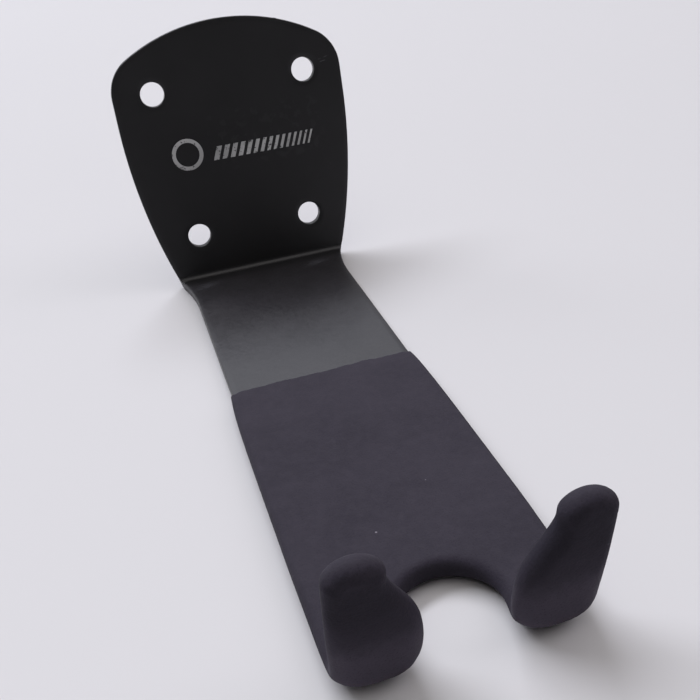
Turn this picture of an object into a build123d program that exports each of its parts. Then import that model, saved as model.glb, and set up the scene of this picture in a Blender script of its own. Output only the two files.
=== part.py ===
from build123d import *
from math import asin, atan2, cos, degrees, hypot, pi, radians, sin, sqrt, tan
import os

# Wall rack that holds a bicycle by its pedal: one bent steel plate with a soft
# skin on its fork. Millimetres, +Z up, +Y towards the wall, -Y out into the room.
# The origin is on the back face of the wall plate, in the middle of its four holes.

# ---- driving dimensions ----------------------------------------------------
steel_t = 3.0            # plate thickness
skin_t = 1.4             # soft skin on every side of the steel
arm_half = 26.0          # half the arm's width
slope = 9.9              # the arm falls this many degrees below level
bend_r = 2.0             # inner radius of the bend between wall plate and arm

hole_r = 3.85            # four clear holes for wall screws
upper_half = 25.15       # half the distance between the two upper holes
lower_half = 19.5        # half the distance between the two lower holes
rows = 48.0              # height between the two rows of holes
crease_z = -38.5         # height of the crease between wall plate and arm

plate_half = 38.0        # widest half-width of the wall plate
plate_top = 82.4         # apex above the crease
shoulder_z = 62.4        # centre of the shoulder arcs above the crease
shoulder_r = 13.4        # radius of the shoulder arcs
side_z = 54.6            # where the long side arcs start, above the crease
side_r = 175.0           # radius of the long side arcs
waist_r = 70.0           # hollow arc that runs the sides into the arm's edges

skin_start = 77.1        # along the arm from the crease to the edge of the skin
fork_at = 175.7          # along the arm from the crease to the prongs' inner face
fork_r = 3.0             # inner radius of the prongs' bend
lean = 8.7               # the prongs lean out this many degrees past square
notch_r = 12.6           # round notch between the prongs, in the steel
notch_at = 157.6         # along the arm from the crease to the notch's bottom
prong_in_low = 11.4      # inner edge of a prong at its widest, from the middle
prong_low = 11.5         # height along the prong of its widest place
prong_in_top = 17.4      # inner edge where the tip's round starts
prong_slant = 0.46       # slope of the inner edge there
prong_len = 30.3         # length of a prong along its inner face
tip_h = 4.4              # height of the tip's round


ink_t = 0.1              # thickness of the printed mark
mark_x = -18.0           # middle of the printed ring
ring_r = 5.2
mark_end = 24.5          # the row of slanted dashes stops here
mark_z = 0.0             # foot of the dashes
mark_h = 4.4             # height of the dashes

# ---- side view of the bent plate -------------------------------------------
b, l = radians(slope), radians(lean)
turn_1, turn_2 = pi / 2 - b, pi / 2 - l          # how far each bend turns
reach_1 = bend_r * tan(turn_1 / 2)               # flat length each bend takes
reach_2 = fork_r * tan(turn_2 / 2)
flat_1 = (bend_r + steel_t / 2) * turn_1         # length of each bend, unrolled
flat_2 = (fork_r + steel_t / 2) * turn_2
arm_end = fork_at - reach_2                      # the arm is flat up to here


def on_arm(s, h):
    """Point at s along the arm from the crease and h above its top face."""
    return (0, -steel_t - s * cos(b) - h * sin(b), crease_z - s * sin(b) + h * cos(b))


def on_prong(p, w):
    """Point at p up a prong's inner face and w outwards from that face."""
    return on_arm(fork_at + p * sin(l) + w * cos(l), p * cos(l) - w * sin(l))


def minus(p, q):
    return tuple(i - j for i, j in zip(p, q))


# Widths are laid out on the unrolled plate. u is the distance along it: the height
# above the crease on the wall plate, then falling through the bends to the tips.
def u_arm(s):
    return reach_1 - flat_1 - (s - reach_1)


def u_prong(p):
    return u_arm(arm_end) - flat_2 - (p - reach_2)


waist_drop = sqrt((side_r + waist_r) ** 2 - (side_r - plate_half + arm_half + waist_r) ** 2)
u_waist = side_z - waist_drop                    # the sides run parallel from here
u_swap = side_z - waist_drop * side_r / (side_r + waist_r)


def side_x(u):
    if u > u_swap:
        return plate_half - side_r + sqrt(side_r**2 - (side_z - u) ** 2)
    if u > u_waist:
        return arm_half + waist_r - sqrt(waist_r**2 - (u - u_waist) ** 2)
    return arm_half


u_notch = u_arm(notch_at + notch_r)
u_low = u_prong(prong_low)
u_high = u_prong(prong_len - tip_h)


def inner_x(u, grow=0.0):
    """Inner edge of a tongue, from the middle of the notch to the tip's round."""
    if u > u_low:
        k = (u_notch - u) / (u_notch - u_low)
        x = notch_r + (prong_in_low - notch_r) * (3 * k * k - 2 * k**3)
        return x - grow
    span = u_low - u_high
    k = (u_low - u) / span
    rise = prong_in_top - prong_in_low
    x = prong_in_low + rise * (3 * k * k - 2 * k**3) + prong_slant * span * (k**3 - k * k)
    d = (rise * (6 * k - 6 * k * k) / span) + prong_slant * (3 * k * k - 2 * k)
    return x - grow * sqrt(1 + d * d)


# ---- planes ------------------------------------------------------------------
arm_plane = Plane(
    origin=on_arm(0, 0), x_dir=(1, 0, 0), z_dir=minus(on_arm(0, 1), on_arm(0, 0))
)
prong_plane = Plane(
    origin=on_prong(0, 0), x_dir=(1, 0, 0), z_dir=minus(on_prong(0, 1), on_prong(0, 0))
)


def bend_1_plane(k):
    """Cross-section plane of the crease bend, in the middle of the thickness."""
    a = k * turn_1
    r = bend_r + steel_t / 2
    y0, z0 = -steel_t - bend_r, crease_z + reach_1
    return Plane(
        origin=(0, y0 + r * cos(a), z0 - r * sin(a)),
        x_dir=(1, 0, 0),
        z_dir=(0, -sin(a), -cos(a)),
    )


def bend_2_plane(k):
    """Cross-section plane of the fork's bend, in the middle of the thickness."""
    a = k * turn_2
    r = fork_r + steel_t / 2
    ahead = minus(on_arm(cos(a), sin(a)), on_arm(0, 0))
    return Plane(
        origin=on_arm(arm_end + r * sin(a), fork_r - r * cos(a)),
        x_dir=(1, 0, 0),
        z_dir=ahead,
    )


def prong_edge(grow):
    """Points up a prong's inner edge, from the bend to the tip's round."""
    top = prong_len - tip_h
    steps = [reach_2 + (top - reach_2) * i / 6 for i in range(7)]
    return [(inner_x(u_prong(p), grow), p) for p in steps]


def across(points):
    """The same points on the other side of the middle."""
    return [(-x, y) for x, y in points]


# ---- one-piece steel bracket -------------------------------------------------
shoulder_x = plate_half - shoulder_r
rise = plate_top - shoulder_z
top_r = (shoulder_x**2 + rise**2 - shoulder_r**2) / (2 * (rise - shoulder_r))
top_a = atan2(shoulder_z - plate_top + top_r, shoulder_x)

with BuildPart() as steel_bracket:
    # wall plate: crowned top, round shoulders, long bowed sides, four holes
    with BuildSketch(Plane.XZ):
        with BuildLine():
            c_top = (0, crease_z + plate_top - top_r)
            c_sh = (shoulder_x, crease_z + shoulder_z)
            meet = (c_top[0] + top_r * cos(top_a), c_top[1] + top_r * sin(top_a))
            half_a = (top_a + pi / 2) / 2
            ThreePointArc(
                (0, crease_z + plate_top),
                (top_r * cos(half_a), c_top[1] + top_r * sin(half_a)),
                meet,
            )
            ThreePointArc(
                meet,
                (c_sh[0] + shoulder_r * cos(top_a / 2), c_sh[1] + shoulder_r * sin(top_a / 2)),
                (plate_half, crease_z + shoulder_z),
            )
            Line((plate_half, crease_z + shoulder_z), (plate_half, crease_z + side_z))
            ThreePointArc(
                (plate_half, crease_z + side_z),
                (side_x(side_z / 2), crease_z + side_z / 2),
                (side_x(reach_1), crease_z + reach_1),
            )
            Line((side_x(reach_1), crease_z + reach_1), (0, crease_z + reach_1))
            mirror(about=Plane.YZ)
        make_face()
        with Locations(
            (upper_half, rows / 2),
            (-upper_half, rows / 2),
            (lower_half, -rows / 2),
            (-lower_half, -rows / 2),
        ):
            Circle(hole_r, mode=Mode.SUBTRACT)
    extrude(amount=steel_t)

    # arm: hollow waist, parallel edges, round notch at its end
    with BuildSketch(arm_plane):
        with BuildLine():
            s_waist = -(u_waist - u_arm(0))
            s_mid = (reach_1 + s_waist) / 2
            ThreePointArc(
                (side_x(u_arm(reach_1)), -reach_1),
                (side_x(u_arm(s_mid)), -s_mid),
                (arm_half, -s_waist),
            )
            Line((arm_half, -s_waist), (arm_half, -arm_end))
            Line((arm_half, -arm_end), (inner_x(u_arm(arm_end)), -arm_end))
            Line(
                (inner_x(u_arm(arm_end)), -arm_end),
                (notch_r, -notch_at - notch_r),
            )
            ThreePointArc(
                (notch_r, -notch_at - notch_r),
                (notch_r * sqrt(0.5), -notch_at - notch_r * (1 - sqrt(0.5))),
                (0, -notch_at),
            )
            mirror(about=Plane.YZ)
            Line((side_x(u_arm(reach_1)), -reach_1), (-side_x(u_arm(reach_1)), -reach_1))
        make_face()
    extrude(amount=-steel_t)

    # prongs: swelling tongues with round tips
    with BuildSketch(prong_plane):
        with BuildLine():
            inner = prong_edge(0)
            (x_low, p_low), (x_top, p_top) = inner[0], inner[-1]
            Spline(*inner)
            EllipticalCenterArc(
                ((x_top + arm_half) / 2, p_top),
                (arm_half - x_top) / 2,
                tip_h,
                start_angle=0,
                arc_size=180,
            )
            Polyline((arm_half, p_top), (arm_half, p_low), (x_low, p_low))
        make_face()
        mirror(about=Plane.YZ)
    extrude(amount=steel_t)

    # the three bends
    for i in range(7):
        with BuildSketch(bend_1_plane(i / 6)):
            Rectangle(2 * side_x(reach_1 - flat_1 * i / 6), steel_t)
    loft()
    for side in (1, -1):
        for i in range(7):
            x_in = inner_x(u_arm(arm_end) - flat_2 * i / 6, 0)
            with BuildSketch(bend_2_plane(i / 6)):
                with Locations((side * (x_in + arm_half) / 2, 0)):
                    Rectangle(arm_half - x_in, steel_t)
        loft()
steel_bracket.part.label = "steel_bracket"

# ---- soft skin, dipped over the fork ------------------------------------------
skin_thick = steel_t + 2 * skin_t
with BuildPart() as foam_coating:
    with BuildSketch(arm_plane.offset(skin_t)):
        with BuildLine():
            w = arm_half + skin_t
            r = notch_r - skin_t
            x_end = inner_x(u_arm(arm_end), skin_t)
            mid_s = notch_at + notch_r
            Line((w, -skin_start), (w, -arm_end))
            Line((w, -arm_end), (x_end, -arm_end))
            Line((x_end, -arm_end), (r, -mid_s))
            ThreePointArc((r, -mid_s), (r * sqrt(0.5), -mid_s + r * sqrt(0.5)), (0, -mid_s + r))
            mirror(about=Plane.YZ)
            Line((w, -skin_start), (-w, -skin_start))
        make_face()
    extrude(amount=-skin_thick)
    with BuildSketch(prong_plane.offset(-skin_t)):
        with BuildLine():
            inner = prong_edge(skin_t)
            (x_low, p_low), (x_top, p_top) = inner[0], inner[-1]
            Spline(*inner)
            EllipticalCenterArc(
                ((x_top + w) / 2, p_top),
                (w - x_top) / 2,
                tip_h + skin_t,
                start_angle=0,
                arc_size=180,
            )
            Polyline((w, p_top), (w, p_low), (x_low, p_low))
        make_face()
        mirror(about=Plane.YZ)
    extrude(amount=skin_thick)
    for side in (1, -1):
        for i in range(7):
            x_in = inner_x(u_arm(arm_end) - flat_2 * i / 6, skin_t)
            with BuildSketch(bend_2_plane(i / 6)):
                with Locations((side * (x_in + w) / 2, 0)):
                    Rectangle(w - x_in, skin_thick)
        loft()
    add(steel_bracket.part, mode=Mode.SUBTRACT)
foam_coating.part.label = "foam_coating"

# ---- printed mark on the front of the wall plate -------------------------------
with BuildPart() as front_transfer:
    with BuildSketch(Plane.XZ.offset(steel_t)):
        with Locations((mark_x, mark_z + 3.4)):
            Circle(ring_r)
            Circle(ring_r - 1.3, mode=Mode.SUBTRACT)
        x = mark_x + ring_r + 3.0
        while x < mark_end:
            wide = 0.6 + 1.5 * (mark_end - x) / (mark_end - mark_x)
            with BuildLine():
                Polyline(
                    (x, mark_z),
                    (x + wide, mark_z),
                    (x + wide + mark_h * 0.4, mark_z + mark_h),
                    (x + mark_h * 0.4, mark_z + mark_h),
                    close=True,
                )
            make_face()
            x += wide + 1.1
    extrude(amount=ink_t)
front_transfer.part.label = "front_transfer"

os.makedirs("parts", exist_ok=True)
export_step(steel_bracket.part, "parts/steel_bracket.step")
export_step(foam_coating.part, "parts/foam_coating.step")
export_step(front_transfer.part, "parts/front_transfer.step")
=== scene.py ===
import math

import bmesh
import bpy
import numpy as np
from mathutils import Matrix, Vector
from mathutils.geometry import delaunay_2d_cdt
from mathutils.kdtree import KDTree


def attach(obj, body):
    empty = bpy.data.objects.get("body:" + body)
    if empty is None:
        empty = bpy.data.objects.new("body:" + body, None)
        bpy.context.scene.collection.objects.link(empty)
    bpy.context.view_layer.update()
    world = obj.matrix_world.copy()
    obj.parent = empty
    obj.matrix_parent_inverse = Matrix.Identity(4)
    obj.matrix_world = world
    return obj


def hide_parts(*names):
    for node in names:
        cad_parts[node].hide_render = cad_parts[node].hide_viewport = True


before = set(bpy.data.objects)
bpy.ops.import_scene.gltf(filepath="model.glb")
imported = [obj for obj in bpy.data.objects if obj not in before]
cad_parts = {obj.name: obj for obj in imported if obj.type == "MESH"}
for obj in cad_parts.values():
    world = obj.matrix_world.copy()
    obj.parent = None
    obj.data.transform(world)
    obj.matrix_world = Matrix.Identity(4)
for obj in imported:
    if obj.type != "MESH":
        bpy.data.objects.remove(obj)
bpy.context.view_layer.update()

scene = bpy.context.scene
pi = math.pi

# ---------------------------------------------------------------------------
# The bracket's own numbers, in millimetres: the same as the CAD's.
# ---------------------------------------------------------------------------
steel_t = 3.0
skin_t = 1.4
arm_half = 26.0
slope = math.radians(9.9)
bend_r = 2.0
hole_r = 3.85
upper_half, lower_half, rows = 25.15, 19.5, 48.0
crease_z = -38.5
plate_half, plate_top, shoulder_z, shoulder_r = 38.0, 82.4, 62.4, 13.4
side_z, side_r, waist_r = 54.6, 175.0, 70.0
skin_start = 77.1
fork_at, fork_r, lean = 175.7, 3.0, math.radians(8.7)
notch_r, notch_at = 12.6, 157.6
prong_in_low, prong_low, prong_in_top, prong_slant = 11.4, 11.5, 17.4, 0.46
prong_len, tip_h = 30.3, 4.4

turn_1, turn_2 = pi / 2 - slope, pi / 2 - lean
reach_1 = bend_r * math.tan(turn_1 / 2)
reach_2 = fork_r * math.tan(turn_2 / 2)
flat_1 = (bend_r + steel_t / 2) * turn_1
flat_2 = (fork_r + steel_t / 2) * turn_2
arm_end = fork_at - reach_2


def u_arm(s):
    return reach_1 - flat_1 - (s - reach_1)


def s_arm(u):
    return 2 * reach_1 - flat_1 - u


def u_prong(p):
    return u_arm(arm_end) - flat_2 - (p - reach_2)


drop = math.sqrt((side_r + waist_r) ** 2 - (side_r - plate_half + arm_half + waist_r) ** 2)
u_waist = side_z - drop
u_swap = side_z - drop * side_r / (side_r + waist_r)
u_notch = u_arm(notch_at + notch_r)
u_low = u_prong(prong_low)
u_high = u_prong(prong_len - tip_h)
u_skin = u_arm(skin_start)


def side_x(u):
    u = np.asarray(u, float)
    a = plate_half - side_r + np.sqrt(np.maximum(side_r**2 - (side_z - u) ** 2, 0))
    b = arm_half + waist_r - np.sqrt(np.maximum(waist_r**2 - (u - u_waist) ** 2, 0))
    return np.where(u > u_swap, a, np.where(u > u_waist, b, arm_half))


def inner_x(u, grow=0.0):
    u = np.asarray(u, float)
    k = (u_notch - u) / (u_notch - u_low)
    near = notch_r + (prong_in_low - notch_r) * (3 * k * k - 2 * k**3) - grow
    span = u_low - u_high
    k = (u_low - u) / span
    rise = prong_in_top - prong_in_low
    x = prong_in_low + rise * (3 * k * k - 2 * k**3) + prong_slant * span * (k**3 - k * k)
    d = rise * (6 * k - 6 * k * k) / span + prong_slant * (3 * k * k - 2 * k)
    return np.where(u > u_low, near, x - grow * np.sqrt(1 + d * d))


def bent(x, u, h):
    """A point of the unrolled plate, h above its middle, on the bent bracket, with the
    directions that x, u and h have there. Millimetres."""
    x, u, h = (np.asarray(v, float) for v in np.broadcast_arrays(x, u, h))
    n = x.size
    out = np.array([0, -math.cos(slope), -math.sin(slope)])
    up = np.array([0, -math.sin(slope), math.cos(slope)])
    base = np.array([0, -steel_t, crease_z])
    P, EU, EH = np.zeros((n, 3)), np.zeros((n, 3)), np.zeros((n, 3))
    ht = h - steel_t / 2

    a = u >= reach_1
    P[a] = np.stack([0 * x[a], -steel_t - ht[a], crease_z + u[a]], -1)
    EU[a], EH[a] = (0, 0, 1), (0, -1, 0)

    b = (u < reach_1) & (u >= reach_1 - flat_1)
    th = (reach_1 - u[b]) / flat_1 * turn_1
    r = bend_r - ht[b]
    P[b] = np.stack(
        [0 * th, -steel_t - bend_r + r * np.cos(th), crease_z + reach_1 - r * np.sin(th)], -1
    )
    EU[b] = np.stack([0 * th, np.sin(th), np.cos(th)], -1)
    EH[b] = np.stack([0 * th, -np.cos(th), np.sin(th)], -1)

    s = s_arm(u)
    c = (u < reach_1 - flat_1) & (s <= arm_end)
    P[c] = base + s[c, None] * out + ht[c, None] * up
    EU[c], EH[c] = -out, up

    d = (s > arm_end) & (s <= arm_end + flat_2)
    th = ((s[d] - arm_end) / flat_2 * turn_2)[:, None]
    r = fork_r - ht[d][:, None]
    P[d] = base + (arm_end + r * np.sin(th)) * out + (fork_r - r * np.cos(th)) * up
    EU[d] = -(np.cos(th) * out + np.sin(th) * up)
    EH[d] = -np.sin(th) * out + np.cos(th) * up

    e = s > arm_end + flat_2
    along = math.sin(lean) * out + math.cos(lean) * up
    across = -math.cos(lean) * out + math.sin(lean) * up
    p = (s[e] - arm_end - flat_2 + reach_2)[:, None]
    P[e] = base + fork_at * out + p * along + ht[e][:, None] * across
    EU[e], EH[e] = -along, across
    P[:, 0] = x
    return P, EU, EH


# ---------------------------------------------------------------------------
# Outlines on the unrolled plate, as dense closed loops, counter-clockwise
# ---------------------------------------------------------------------------
def resample(points, step):
    p = np.asarray(points, float)
    d = np.concatenate([[0], np.cumsum(np.hypot(*np.diff(p, axis=0).T))])
    n = max(2, int(round(d[-1] / step)) + 1)
    t = np.linspace(0, d[-1], n)
    return np.stack([np.interp(t, d, p[:, 0]), np.interp(t, d, p[:, 1])], -1)


def tongue_half(grow, n=400):
    """From the middle of the notch round the right prong's tip to its outer edge."""
    r = notch_r - grow
    a = np.linspace(pi / 2, 0, n)
    arc = np.stack([r * np.cos(a), u_notch + r * np.sin(a)], -1)
    u = np.linspace(u_notch, u_high, n)
    inner = np.stack([inner_x(u, grow), u], -1)
    x0, x1 = float(inner_x(u_high, grow)), arm_half + grow
    b = np.linspace(pi, 0, n)
    # the round leaves the slanted inner edge without a corner
    tip = np.stack(
        [
            (x0 + x1) / 2 + (x1 - x0) / 2 * np.cos(b),
            u_high - (tip_h + grow) * np.sin(b),
        ],
        -1,
    )
    return arc, inner, tip, x1


def smooth(points, passes=12):
    """Rounds small corners of a dense open polyline, keeping its ends."""
    p = points.copy()
    for _ in range(passes):
        p[1:-1] = 0.25 * p[:-2] + 0.5 * p[1:-1] + 0.25 * p[2:]
    return p


def steel_loop():
    arc, inner, tip, x1 = tongue_half(0)
    low = smooth(resample(np.vstack([arc, inner[1:], tip[1:]]), 0.5), 6)
    u_side = np.linspace(u_high, side_z, 4000)
    side = np.stack([side_x(u_side), u_side], -1)
    shoulder_x = plate_half - shoulder_r
    rise = plate_top - shoulder_z
    top_r = (shoulder_x**2 + rise**2 - shoulder_r**2) / (2 * (rise - shoulder_r))
    top_a = math.atan2(shoulder_z - plate_top + top_r, shoulder_x)
    a = np.linspace(0, top_a, 200)
    sh = np.stack([shoulder_x + shoulder_r * np.cos(a), shoulder_z + shoulder_r * np.sin(a)], -1)
    a = np.linspace(top_a, pi / 2, 400)
    top = np.stack([top_r * np.cos(a), plate_top - top_r + top_r * np.sin(a)], -1)
    half = np.vstack([low, resample(np.vstack([side, sh, top]), 0.5)[1:]])
    half[0, 0] = half[-1, 0] = 0
    left = half[1:-1][::-1] * [-1, 1]
    return np.vstack([half, left])


def circle(cx, cy, r, step=0.35):
    n = int(2 * pi * r / step)
    a = np.linspace(0, -2 * pi, n, endpoint=False)
    return np.stack([cx + r * np.cos(a), cy + r * np.sin(a)], -1)


def loop_normals(c):
    d = np.roll(c, -1, 0) - np.roll(c, 1, 0)
    d /= np.linalg.norm(d, axis=1)[:, None]
    return np.stack([d[:, 1], -d[:, 0]], -1)  # outward on a counter-clockwise loop


def nearest(points, segs_a, segs_b):
    """Distance to the nearest segment, and the direction from the point to it."""
    best = np.full(len(points), 1e9)
    way = np.zeros((len(points), 2))
    ab = segs_b - segs_a
    l2 = (ab**2).sum(1)
    for i in range(0, len(points), 400):
        p = points[i : i + 400, None, :]
        t = np.clip(((p - segs_a) * ab).sum(-1) / l2, 0, 1)
        q = segs_a + t[..., None] * ab
        d = np.linalg.norm(p - q, axis=-1)
        j = d.argmin(1)
        r = np.arange(len(j))
        best[i : i + 400] = d[r, j]
        way[i : i + 400] = q[r, j] - points[i : i + 400]
    return best, way / np.maximum(np.linalg.norm(way, axis=1), 1e-9)[:, None]


def inside(points, loops):
    x, y = points[:, 0], points[:, 1]
    r = np.zeros(len(points), bool)
    for c in loops:
        n = np.roll(c, -1, 0)
        for (x1, y1), (x2, y2) in zip(c, n):
            if y1 == y2:
                continue
            m = (y1 > y) != (y2 > y)
            r ^= m & (x < (x2 - x1) * (y - y1) / (y2 - y1) + x1)
    return r


def sheet_mesh(name, loops, open_edges, rings, extra, lines, profile, shift, keep_normals):
    """A bent sheet with softened edges. loops are closed outlines (holes clockwise);
    open_edges marks outline points whose edge isn't softened; rings are distances in
    from the edges; extra points and lines fill the middle. profile(x, u, d) gives the
    heights of the two faces and their slopes at distance d from the edge, and
    shift(x, u) moves the points on the unrolled plate before it's bent."""
    pts, kind, edges = [], [], []
    seg_a, seg_b = [], []
    for li, c in enumerate(loops):
        start, m = len(pts), len(c)
        soft = ~open_edges[li]
        for i in range(m):
            pts.append(c[i])
            kind.append((li, i))
            edges.append((start + i, start + (i + 1) % m))
            if soft[i] or soft[(i + 1) % m]:
                seg_a.append(c[i])
                seg_b.append(c[(i + 1) % m])
    n_edge = len(pts)
    seg_a, seg_b = np.array(seg_a), np.array(seg_b)
    ring_pts = []
    for li, c in enumerate(loops):
        nrm = loop_normals(c)
        soft = ~open_edges[li]
        for d in rings:
            q = c[soft] - nrm[soft] * d
            ring_pts.append(np.column_stack([q, np.full(len(q), d)]))
    ring_pts = np.vstack(ring_pts)
    dist, _ = nearest(ring_pts[:, :2], seg_a, seg_b)
    ok = (dist > ring_pts[:, 2] - 0.03) & inside(ring_pts[:, :2], loops)
    ring_pts = ring_pts[ok]
    last = rings[-1]
    line_pts, line_edges = [], []
    for ln in lines:
        d, _ = nearest(ln, seg_a, seg_b)
        good = inside(ln, loops) & (d > (last + 0.1 if np.ptp(ln[:, 0]) > 60 else 0.4))
        prev = None
        for k, p in enumerate(ln):
            if good[k]:
                line_pts.append(p)
                if prev is not None and prev == k - 1:
                    line_edges.append((len(line_pts) - 2, len(line_pts) - 1))
                prev = k
    line_pts = np.array(line_pts).reshape(-1, 2)
    d, _ = nearest(extra, seg_a, seg_b)
    extra = extra[inside(extra, loops) & (d > last + 0.35)]
    base = n_edge + len(ring_pts)
    allp = np.vstack([np.array(pts), ring_pts[:, :2], line_pts, extra])
    edges += [(a + base, b + base) for a, b in line_edges]
    res = delaunay_2d_cdt([Vector(p) for p in allp], edges, [], 0, 1e-5, True)
    v2 = np.array([tuple(v) for v in res[0]])
    tris = np.array([f for f in res[2] if len(f) == 3])
    orig = res[3]
    tris = tris[inside(v2[tris].mean(1), loops)]
    e1, e2 = v2[tris[:, 1]] - v2[tris[:, 0]], v2[tris[:, 2]] - v2[tris[:, 0]]
    area = e1[:, 0] * e2[:, 1] - e1[:, 1] * e2[:, 0]
    tris[area < 0] = tris[area < 0][:, ::-1]
    # slivers between outline points in a straight row lie outside the sheet
    rim = np.array([any(j < n_edge for j in o) for o in orig])
    tris = tris[(np.abs(area) > 1e-7) & ~(rim[tris].all(axis=1) & (np.abs(area) < 1e-3))]
    dist, way = nearest(v2, seg_a, seg_b)
    index = {}
    for i, o in enumerate(orig):
        for j in o:
            if j < n_edge:
                index[j] = i
                if not open_edges[kind[j][0]][kind[j][1]]:
                    dist[i] = 0
                    way[i] = loop_normals(loops[kind[j][0]])[kind[j][1]]
    x, u = v2[:, 0], v2[:, 1]
    z_top, s_top, z_low, s_low = profile(x, u, dist)
    n = len(v2)
    dx, du = shift(x, u)
    V2 = np.vstack([v2 + np.column_stack([dx, du])] * 2)
    Z = np.concatenate([z_top, -z_low])
    flat = np.vstack(
        [
            np.column_stack([way * s_top[:, None], np.ones(n)]),
            np.column_stack([way * s_low[:, None], -np.ones(n)]),
        ]
    )
    flat /= np.linalg.norm(flat, axis=1)[:, None]
    faces = [tuple(t) for t in tris] + [tuple(t[::-1] + n) for t in tris]
    # walls between the two faces' rims
    off = 0
    for c in loops:
        m = len(c)
        for i in range(m):
            a, b = index[off + i], index[off + (i + 1) % m]
            if a != b:
                faces.append((b, a, a + n, b + n))
        off += m
    P, EU, EH = bent(V2[:, 0], V2[:, 1], Z)
    N3 = flat[:, :1] * np.array([1.0, 0, 0]) + flat[:, 1:2] * EU + flat[:, 2:3] * EH
    me = bpy.data.meshes.new(name)
    me.from_pydata([tuple(p) for p in P / 1000], [], faces)
    me.update()
    bm = bmesh.new()
    bm.from_mesh(me)
    bmesh.ops.remove_doubles(bm, verts=bm.verts, dist=2e-6)
    bmesh.ops.recalc_face_normals(bm, faces=bm.faces)
    bm.to_mesh(me)
    bm.free()
    for p in me.polygons:
        p.use_smooth = True
    if keep_normals:
        tree = KDTree(len(P))
        for i, p in enumerate(P / 1000):
            tree.insert(Vector(p), i)
        tree.balance()
        nn = np.array([N3[tree.find(v.co)[1]] for v in me.vertices])
        me.normals_split_custom_set_from_vertices([tuple(v) for v in nn])
    ob = bpy.data.objects.new(name, me)
    scene.collection.objects.link(ob)
    return ob


def quarter(d, r, width):
    """Height lost by a rounded edge r high and width wide, and its slope."""
    k = np.clip(1 - d / width, 0, 0.9995)
    f = np.sqrt(1 - k * k)
    return r * (1 - f), r * k / (f * width)


def grid(x0, x1, u0, u1, step):
    xs = np.linspace(x0, x1, max(2, int((x1 - x0) / step) + 1))
    us = np.linspace(u0, u1, max(2, int((u1 - u0) / step) + 1))
    g = np.stack(np.meshgrid(xs, us), -1)
    g[1::2, :, 0] += (xs[1] - xs[0]) / 2
    return g.reshape(-1, 2)


def bend_lines(step_u, step_x):
    out = []
    for top, length, pad in ((reach_1, flat_1, 0.4), (u_arm(arm_end), flat_2, 1.2)):
        n = int(round((length + 2 * pad) / step_u)) + 1
        for u in np.linspace(top + pad, top - length - pad, n):
            xs = np.arange(-34, 34.01, step_x)
            out.append(np.stack([xs, np.full(len(xs), u)], -1))
    return out


def dense_in_bends(loop, fine):
    """Adds outline points where the plate bends, so the edges follow the bends."""
    out = []
    zones = [
        (reach_1 - flat_1 - 1, reach_1 + 1),
        (u_arm(arm_end) - flat_2 - 1.5, u_arm(arm_end) + 1.5),
    ]
    for a, b in zip(loop, np.roll(loop, -1, 0)):
        mid = (a[1] + b[1]) / 2
        step = fine if any(l <= mid <= h for l, h in zones) else 1e9
        n = max(1, int(math.ceil(np.linalg.norm(b - a) / step)))
        out += [a + (b - a) * k / n for k in range(n)]
    return np.array(out)


# ---------------------------------------------------------------------------
# Steel bracket, with a small drip of paint on the crown of the plate
# ---------------------------------------------------------------------------
loop = dense_in_bends(steel_loop(), 0.3)
nub_x, nub_u = 18.65, 80.2
d = np.hypot(loop[:, 0] - nub_x, loop[:, 1] - nub_u)
loop = loop + loop_normals(loop) * (0.42 * np.exp(-((d / 0.55) ** 2)))[:, None]
holes = [
    circle(sx * hx, hz * rows / 2 - crease_z, hole_r)
    for hx, hz in ((upper_half, 1), (lower_half, -1))
    for sx in (1, -1)
]
loops = [loop] + holes
rim_r, roll_w, roll_h = 0.36, 1.9, 0.20


def steel_profile(x, u, d):
    """Punched from its front: that face's edges roll over, the back's stay crisper."""
    drop, slope_1 = quarter(d, rim_r, rim_r)
    k = np.clip(1 - d / roll_w, 0, 1)
    half = np.full(len(x), steel_t / 2)
    low_drop, slope_2 = quarter(d, rim_r, rim_r)
    return half - drop - roll_h * k * k, slope_1 + 2 * roll_h * k / roll_w, half - low_drop, slope_2


def still(x, u):
    return 0 * x, 0 * u


steel = sheet_mesh(
    "bracket_steel",
    loops,
    [np.zeros(len(c), bool) for c in loops],
    [rim_r * (1 - math.cos(a)) for a in np.radians((22, 45, 68, 90))] + [0.75, 1.3, 1.95],
    grid(-38, 38, u_prong(prong_len), plate_top, 4.0),
    bend_lines(0.6, 2.5),
    steel_profile,
    still,
    True,
)
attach(steel, "root")
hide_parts("steel_bracket")

# ---------------------------------------------------------------------------
# Foam skin: thin and ragged at its edge on the arm, full and round on the fork
# ---------------------------------------------------------------------------
def wob(x, seed, waves):
    """Smooth repeatable unevenness from a few sine waves; lengths in millimetres."""
    rng = np.random.default_rng(seed)
    out = np.zeros_like(np.asarray(x, float))
    for w, a in waves:
        out += a * np.sin(2 * pi * x / w + rng.uniform(0, 2 * pi))
    return out


def ease(t):
    t = np.clip(t, 0, 1)
    return t * t * (3 - 2 * t)


def past(u):
    """Distance from the skin's edge on the arm."""
    return u_skin - u


def skin_over(u):
    """Thickness of the skin over the steel."""
    e = past(u)
    lip = np.sqrt(np.clip(e / 0.35, 0, 1))
    return -0.05 + 0.60 * lip + (skin_t - 0.55) * (1 - np.exp(-np.maximum(e, 0) / 9.0))


u_turn = u_arm(arm_end) - flat_2 / 2


def swell(u, middle, reach):
    return np.exp(-(((u - middle) / reach) ** 2))


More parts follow.
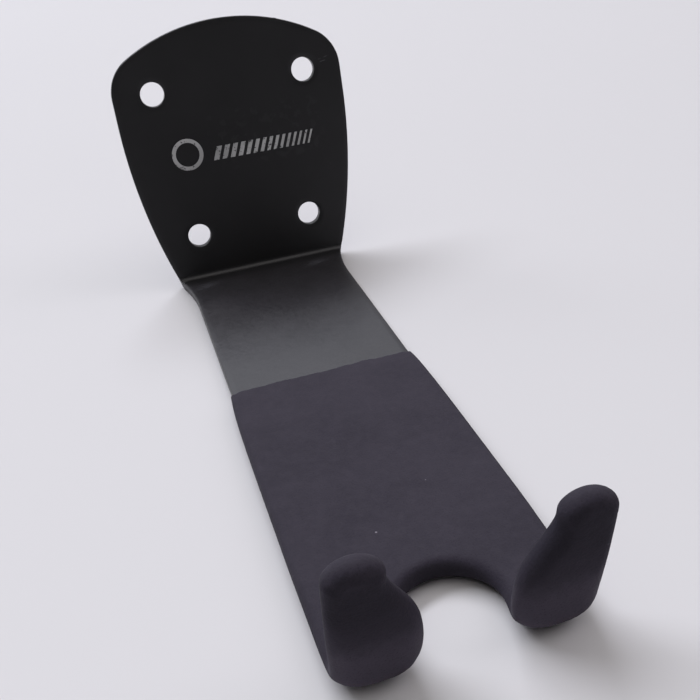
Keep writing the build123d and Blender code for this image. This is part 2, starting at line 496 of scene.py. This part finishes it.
def skin_loop():
    """The skin's outline: the steel's, grown, and fuller inside the fork's bend."""
    arc, inner, tip, x1 = tongue_half(skin_t)
    low = smooth(resample(np.vstack([arc, inner[1:], tip[1:]]), 0.6), 8)
    nrm = loop_normals(np.vstack([low, low[::-1] * [-1, 1]]))[: len(low)]
    out_side = low[:, 0] > 20
    fuller = 1.35 * swell(low[:, 1], u_turn - 4.5, 8.0) * ~out_side
    thinner = -0.35 * swell(low[:, 1], u_prong(22), 5.0) * ~out_side
    taller = 0.8 * ease((u_high - low[:, 1]) / 3.5)
    low = low + nrm * (fuller + thinner + taller)[:, None]
    es = np.concatenate([[0, 0.03, 0.09, 0.18, 0.35, 0.6], np.arange(1.2, past(u_high), 0.6)])
    u = u_skin - es[::-1]
    side = np.stack([arm_half + skin_over(u), u], -1)
    keep = side[:, 1] > low[-1, 1] + 0.3
    half = np.vstack([low, side[keep]])
    half[:, 0] -= np.where(half[:, 0] > 20, 0.30 * swell(half[:, 1], u_turn - 1.0, 6.0), 0)
    half[0, 0] = 0
    xs = np.linspace(half[-1, 0], -half[-1, 0], 66)[1:-1]
    across = np.stack([xs, np.full(len(xs), u_skin)], -1)
    left = half[1:][::-1] * [-1, 1]
    c = np.vstack([half, across, left])
    opened = np.zeros(len(c), bool)
    opened[len(half) : len(half) + len(across)] = True
    return c, opened


full_r = 2.88


def skin_profile(x, u, d):
    e = past(u)
    h = steel_t / 2 + skin_over(u)
    soft = 0.10 * wob(x * 0.8 + u * 0.35, 5, ((11.0, 0.5), (6.3, 0.3))) * wob(u, 6, ((17.0, 0.7), (9.0, 0.5)))
    h = h + soft * ease(e / 6.0) * np.minimum(d / 4.0, 1)
    r = 1.7 + (full_r - 1.7) * ease((e - 66) / 24.0)
    r = np.minimum(r, 1.2 + 0.5 * ease(e / 16.0) + np.maximum(r - 1.7, 0))
    r = np.minimum(r, h)
    drop, s_top = quarter(d, r, r)
    # under the fork's bend the skin hangs fuller in the middle and rounder at its sides
    turn = swell(u, u_turn - 1.5, 9.5)
    belly = 0.95 * turn * (1 - np.clip((np.abs(x) - 18.0) / 9.4, -1, 1) ** 2) * np.minimum(d / 2.5, 1)
    wide = r + 3.4 * turn
    low_drop, s_low = quarter(d, r, wide)
    return h - drop, s_top, h + belly - low_drop, s_low


def ragged(x, u):
    """The skin's edge on the arm isn't quite straight."""
    near = np.exp(-((past(u) / 4.5) ** 2))
    w = wob(x, 21, ((23.0, 0.16), (9.1, 0.10), (4.3, 0.07), (2.3, 0.04)))
    w = w + 0.42 * np.exp(-(((x - 12.2) / 1.6) ** 2)) - 0.35 * np.exp(-(((x - 15.6) / 1.0) ** 2))
    return 0 * x, w * near


c, opened = skin_loop()
angles = np.radians((14, 28, 42, 55, 68, 80, 90))
e_rows = [u_skin - e for e in (0.03, 0.09, 0.18, 0.35, 0.6, 1.2, 1.8)]
row_lines = [np.stack([np.linspace(-25.4, 25.4, 103), np.full(103, u)], -1) for u in e_rows]
foam = sheet_mesh(
    "foam_skin",
    [c],
    [opened],
    [full_r * (1 - math.cos(a)) for a in angles] + [3.9, 5.0],
    grid(-27.4, 27.4, u_prong(prong_len + skin_t), u_skin - 2.6, 1.25),
    row_lines + bend_lines(0.6, 1.2)[int(round((flat_1 + 0.8) / 0.6)) + 1 :],
    skin_profile,
    ragged,
    False,
)
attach(foam, "root")
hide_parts("foam_coating")


# ---------------------------------------------------------------------------
# Materials
# ---------------------------------------------------------------------------
class Nodes:
    """A small helper for building node trees."""

    def __init__(self, name):
        self.m = bpy.data.materials.new(name)
        self.m.use_nodes = True
        self.t = self.m.node_tree
        self.bsdf = self.t.nodes["Principled BSDF"]
        self.co = self.t.nodes.new("ShaderNodeTexCoord").outputs["Object"]

    def new(self, kind, **settings):
        n = self.t.nodes.new("ShaderNode" + kind)
        for k, v in settings.items():
            setattr(n, k, v)
        return n

    def link(self, a, b):
        self.t.links.new(a, b)

    def put(self, socket, value):
        if isinstance(value, (int, float, tuple, list)):
            socket.default_value = value
        else:
            self.link(value, socket)

    def noise(self, scale, detail=2.0, rough=0.5, at=None, w=None):
        n = self.new("TexNoise")
        n.inputs["Scale"].default_value = scale
        n.inputs["Detail"].default_value = detail
        n.inputs["Roughness"].default_value = rough
        self.link(at or self.co, n.inputs["Vector"])
        return n.outputs["Fac"]

    def voronoi(self, scale, out="Distance", feature="F1", rand=1.0, at=None):
        n = self.new("TexVoronoi", feature=feature)
        n.inputs["Scale"].default_value = scale
        n.inputs["Randomness"].default_value = rand
        self.link(at or self.co, n.inputs["Vector"])
        return n.outputs[out]

    def ramp(self, value, lo, hi, a=0.0, b=1.0, smooth=True):
        n = self.new("MapRange", interpolation_type="SMOOTHSTEP" if smooth else "LINEAR")
        self.put(n.inputs["Value"], value)
        for k, v in (("From Min", lo), ("From Max", hi), ("To Min", a), ("To Max", b)):
            n.inputs[k].default_value = v
        return n.outputs["Result"]

    def math(self, op, a, b=0.0, c=0.0):
        n = self.new("Math", operation=op)
        self.put(n.inputs[0], a)
        self.put(n.inputs[1], b)
        self.put(n.inputs[2], c)
        return n.outputs[0]

    def mix(self, fac, a, b):
        n = self.new("Mix", data_type="RGBA")
        self.put(n.inputs["Factor"], fac)
        self.put(n.inputs["A"], a)
        self.put(n.inputs["B"], b)
        return n.outputs["Result"]

    def bump(self, height, strength, distance, under=None):
        n = self.new("Bump")
        n.inputs["Strength"].default_value = strength
        n.inputs["Distance"].default_value = distance
        self.link(height, n.inputs["Height"])
        if under is not None:
            self.link(under, n.inputs["Normal"])
        return n.outputs["Normal"]

    def xyz(self):
        n = self.new("SeparateXYZ")
        self.link(self.co, n.inputs[0])
        return n.outputs

    def stretched(self, sx, sy, sz):
        n = self.new("Mapping")
        n.inputs["Scale"].default_value = (sx, sy, sz)
        self.link(self.co, n.inputs["Vector"])
        return n.outputs["Vector"]


def steel_material():
    k = Nodes("satin_black_paint")
    x, y, z = k.xyz()
    tint = k.noise(35, 3, 0.55)
    speck = k.voronoi(900)
    dust = k.ramp(speck, 0.10, 0.05)
    rare = k.ramp(k.noise(1400, 1), 0.68, 0.72)
    dust = k.math("MULTIPLY", dust, rare)
    # rubbed, blotchy film around the printed mark
    inx = k.math("MULTIPLY", k.ramp(x, -0.014, -0.004), k.ramp(x, 0.030, 0.027))
    inz = k.math("MULTIPLY", k.ramp(z, -0.0045, -0.0025), k.ramp(z, 0.0165, 0.0140))
    front = k.ramp(y, -0.0025, -0.0029)
    film = k.math("MULTIPLY", k.math("MULTIPLY", inx, inz), front)
    blot = k.ramp(k.noise(330, 5, 0.62), 0.52, 0.60)
    film = k.math("MULTIPLY", film, blot)
    base = k.mix(k.ramp(tint, 0.3, 0.7), (0.0150, 0.0146, 0.0157, 1), (0.0186, 0.0180, 0.0194, 1))
    # the arm is painted paler than the plate, in patches: painted light standing in for the light its bare
    # steel catches
    on_arm = k.ramp(k.math("MULTIPLY", y, -1.0), 0.004, 0.010)
    arm_painted_light = k.math("MULTIPLY", on_arm, k.ramp(k.noise(45, 4, 0.6), 0.2, 0.8, 0.6, 1.0))
    base = k.mix(arm_painted_light, base, (0.0390, 0.0368, 0.0405, 1))
    base = k.mix(k.math("MULTIPLY", film, 0.5), base, (0.030, 0.030, 0.031, 1))
    base = k.mix(k.math("MULTIPLY", dust, 0.5), base, (0.20, 0.20, 0.21, 1))
    k.put(k.bsdf.inputs["Base Color"], base)
    rough = k.ramp(k.noise(60, 4, 0.6), 0.3, 0.7, 0.43, 0.49)
    rough = k.math("ADD", rough, k.math("MULTIPLY", film, -0.09))
    mottle = k.ramp(k.noise(850, 4, 0.65), 0.35, 0.65, -0.05, 0.04)
    rough = k.math("ADD", rough, k.math("MULTIPLY", on_arm, mottle))
    # two short rubs beside the upper right hole
    rub = None
    for x0, z0, x1, rise in ((0.0300, 0.0262, 0.0344, 0.205), (0.0308, 0.0254, 0.0340, 0.16)):
        off = k.math("SUBTRACT", z, k.math("MULTIPLY", k.math("SUBTRACT", x, x0), rise))
        off = k.math("ABSOLUTE", k.math("SUBTRACT", off, z0))
        line = k.math("MULTIPLY", k.ramp(off, 0.00022, 0.00006), k.ramp(x, x0, x0 + 0.0008))
        line = k.math("MULTIPLY", line, k.ramp(x, x1, x1 - 0.0012))
        line = k.math("MULTIPLY", k.math("MULTIPLY", line, front), k.ramp(k.noise(1500, 3, 0.6), 0.40, 0.60))
        rub = line if rub is None else k.math("MAXIMUM", rub, line)
    base = k.mix(k.math("MULTIPLY", rub, 0.55), base, (0.13, 0.13, 0.135, 1))
    k.put(k.bsdf.inputs["Base Color"], base)
    k.put(k.bsdf.inputs["Roughness"], rough)
    k.bsdf.inputs["IOR"].default_value = 1.62
    peel = k.noise(520, 2, 0.5)
    fine = k.noise(2600, 2, 0.5)
    n = k.bump(peel, 0.42, 0.00006)
    n = k.bump(fine, 0.22, 0.00002, n)
    n = k.bump(film, 0.3, 0.00003, n)
    k.put(k.bsdf.inputs["Normal"], n)
    return k.m


def foam_material():
    k = Nodes("dipped_foam")
    big = k.noise(60, 4, 0.6)
    mid = k.noise(420, 3, 0.55)
    cell = k.voronoi(1700)
    fine = k.noise(3800, 3, 0.6)
    base = k.mix(k.ramp(big, 0.3, 0.7), (0.0400, 0.0357, 0.0458, 1), (0.0472, 0.0420, 0.0533, 1))
    base = k.mix(k.ramp(mid, 0.35, 0.75, 0.0, 0.35), base, (0.056, 0.050, 0.062, 1))
    # painted light on the prongs' fronts: paler under the turn of each prong, standing in for light thrown up
    # from the floor, and painted shade below each tip
    x, y, z = k.xyz()
    prong = k.ramp(k.math("MULTIPLY", y, -1.0), 0.172, 0.180)
    z = k.math("ADD", z, k.math("MULTIPLY", k.math("SUBTRACT", mid, 0.5), 0.006))
    # low is the lower front of each prong, painted paler: painted light
    low = k.math("MULTIPLY", prong, k.ramp(z, -0.0545, -0.0640))
    # a band below each tip, painted darker: painted shade
    painted_tip_shade = k.math("MULTIPLY", k.ramp(z, -0.0560, -0.0490), k.ramp(z, -0.0390, -0.0450))
    base = k.mix(k.math("MULTIPLY", low, 1.0), base, (0.078, 0.070, 0.086, 1))
    base = k.mix(k.math("MULTIPLY", k.math("MULTIPLY", prong, painted_tip_shade), 0.4), base, (0.020, 0.018, 0.024, 1))
    # the foam's small hollows are painted darker: painted shade
    painted_pit_shade = k.ramp(cell, 0.0, 0.35, 1.0, 0.0)
    base = k.mix(k.math("MULTIPLY", painted_pit_shade, 0.35), base, (0.020, 0.018, 0.024, 1))
    lint = k.math(
        "MULTIPLY",
        k.ramp(k.voronoi(260), 0.085, 0.05),
        k.ramp(k.noise(170, 1), 0.64, 0.68),
    )
    base = k.mix(k.math("MULTIPLY", lint, 0.6), base, (0.30, 0.28, 0.32, 1))
    k.put(k.bsdf.inputs["Base Color"], base)
    k.put(k.bsdf.inputs["Roughness"], k.ramp(fine, 0.3, 0.7, 0.84, 0.96))
    k.bsdf.inputs["IOR"].default_value = 1.38
    n = k.bump(big, 0.35, 0.0010)
    n = k.bump(mid, 0.30, 0.00022, n)
    n = k.bump(cell, 0.45, 0.00010, n)
    n = k.bump(fine, 0.35, 0.00006, n)
    k.put(k.bsdf.inputs["Normal"], n)
    return k.m


def print_material():
    k = Nodes("grey_print")
    wear = k.ramp(k.noise(900, 4, 0.65), 0.34, 0.44)
    tone = k.ramp(k.noise(120, 2), 0.3, 0.7)
    ink = k.mix(tone, (0.36, 0.36, 0.36, 1), (0.50, 0.50, 0.50, 1))
    k.put(k.bsdf.inputs["Base Color"], k.mix(wear, (0.03, 0.03, 0.032, 1), ink))
    k.put(k.bsdf.inputs["Roughness"], k.ramp(wear, 0, 1, 0.38, 0.55))
    k.put(k.bsdf.inputs["Normal"], k.bump(k.noise(1800, 2), 0.2, 0.00003))
    return k.m


def dress(ob, material):
    ob.data.materials.clear()
    ob.data.materials.append(material)


dress(steel, steel_material())
dress(foam, foam_material())
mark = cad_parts["front_transfer"]
mark_mat = print_material()
for i in range(max(1, len(mark.data.materials))):
    if i < len(mark.data.materials):
        mark.data.materials[i] = mark_mat
    else:
        mark.data.materials.append(mark_mat)

# ---------------------------------------------------------------------------
# Floor, light and camera. The bracket lies on the underside of its bend and skin.
# ---------------------------------------------------------------------------
out = Vector((0, -math.cos(slope), -math.sin(slope)))
up = Vector((0, -math.sin(slope), math.cos(slope)))
base = Vector((0, -steel_t, crease_z))
heel = (base + reach_1 * out - (steel_t + 0.03) * up) / 1000
sole = (base + 88 * out - (steel_t + skin_t + 0.03) * up) / 1000
run = (sole - heel).normalized()
nrm = Vector((1, 0, 0)).cross(run).normalized()
if nrm.z < 0:
    nrm = -nrm
side = Vector((1, 0, 0))
me = bpy.data.meshes.new("floor")
mid = heel + run * 0.08
size = 9.0
quad = [mid + side * sx * size + run * sy * size for sx, sy in ((-1, -1), (1, -1), (1, 1), (-1, 1))]
me.from_pydata([tuple(q) for q in quad], [], [(0, 1, 2, 3)])
floor = bpy.data.objects.new("floor", me)
scene.collection.objects.link(floor)
k = Nodes("pale_floor")
k.put(k.bsdf.inputs["Base Color"], k.mix(k.noise(3, 2), (0.692, 0.675, 0.685, 1), (0.710, 0.693, 0.703, 1)))
k.bsdf.inputs["Roughness"].default_value = 0.6
k.bsdf.inputs["IOR"].default_value = 1.3
dress(floor, k.m)

# A pale band round the horizon for a backdrop, dimmer above.
world = bpy.data.worlds.new("studio")
scene.world = world
world.use_nodes = True
wt = world.node_tree
bg = wt.nodes["Background"]
way = wt.nodes.new("ShaderNodeTexCoord").outputs["Generated"]
dot = wt.nodes.new("ShaderNodeVectorMath")
dot.operation = "DOT_PRODUCT"
dot.inputs[1].default_value = nrm
wt.links.new(way, dot.inputs[0])
lift = wt.nodes.new("ShaderNodeMapRange")
lift.interpolation_type = "SMOOTHSTEP"
for key, value in (("From Min", 0.12), ("From Max", 0.50), ("To Min", 0.50), ("To Max", 0.06)):
    lift.inputs[key].default_value = value
wt.links.new(dot.outputs["Value"], lift.inputs["Value"])
ahead = wt.nodes.new("ShaderNodeVectorMath")
ahead.operation = "DOT_PRODUCT"
ahead.inputs[1].default_value = run
wt.links.new(way, ahead.inputs[0])
fall = wt.nodes.new("ShaderNodeMapRange")
fall.interpolation_type = "SMOOTHSTEP"
for key, value in (("From Min", -0.3), ("From Max", 0.7), ("To Min", 1.0), ("To Max", 0.30)):
    fall.inputs[key].default_value = value
wt.links.new(ahead.outputs["Value"], fall.inputs["Value"])
both = wt.nodes.new("ShaderNodeMath")
both.operation = "MULTIPLY"
wt.links.new(lift.outputs["Result"], both.inputs[0])
wt.links.new(fall.outputs["Result"], both.inputs[1])
wt.links.new(both.outputs[0], bg.inputs["Strength"])
bg.inputs["Color"].default_value = (1.0, 1.0, 1.01, 1)
centre = mid + nrm * 0.02


def soft(name, around, tilt, wide, deep, level, colour=(1, 1, 1)):
    """A soft box facing the arm: tilt from straight overhead, around from its back.
    wide and deep are for a distance of one metre; level is the light it gives."""
    a, t, dist = math.radians(around), math.radians(tilt), 3.2
    way = nrm * math.cos(t) + (-run * math.cos(a) + side * math.sin(a)) * math.sin(t)
    li = bpy.data.lights.new(name, "AREA")
    li.shape = "RECTANGLE"
    li.size, li.size_y = wide * dist, deep * dist
    li.energy, li.color = level * pi * dist**2, colour
    ob = bpy.data.objects.new(name, li)
    ob.location = centre + way * dist
    x = nrm.cross(way).normalized() if tilt > 3 else side
    ob.rotation_euler = Matrix((x, way.cross(x), way)).transposed().to_euler()
    ob.visible_camera = False
    scene.collection.objects.link(ob)


soft("overhead", 152, 11, 1.65, 1.2, 1.62, (1.0, 0.98, 0.965))
soft("behind", -24, 34, 1.05, 0.24, 2.30, (0.96, 0.99, 1.08))
soft("right", 95, 50, 0.62, 0.62, 0.46, (1.0, 0.95, 1.05))
soft("left", -40, 55, 0.34, 0.34, 0.34, (0.97, 0.99, 1.06))

cam = bpy.data.cameras.new("camera")
cam.sensor_width = 36.0
cam.lens = 46.165
cam.clip_start, cam.clip_end = 0.01, 50
camera = bpy.data.objects.new("camera", cam)
scene.collection.objects.link(camera)
rows_ = (
    (0.949982, -0.279117, -0.140102),
    (-0.230011, -0.321847, -0.918428),
    (0.211258, 0.904714, -0.369949),
)
m = Matrix(
    (
        (rows_[0][0], -rows_[1][0], -rows_[2][0], -0.04463),
        (rows_[0][1], -rows_[1][1], -rows_[2][1], -0.30787),
        (rows_[0][2], -rows_[1][2], -rows_[2][2], 0.04649),
        (0, 0, 0, 1),
    )
)
camera.matrix_world = m
scene.camera = camera
scene.view_settings.view_transform = "Standard"
scene.view_settings.look = "None"
# a gentle toe, as a camera gives
scene.view_settings.use_curve_mapping = True
curve = scene.view_settings.curve_mapping
for px, py in ((0.02, 0.0120), (0.05, 0.043), (0.13, 0.135), (0.35, 0.365)):
    curve.curves[3].points.new(px, py)
curve.update()
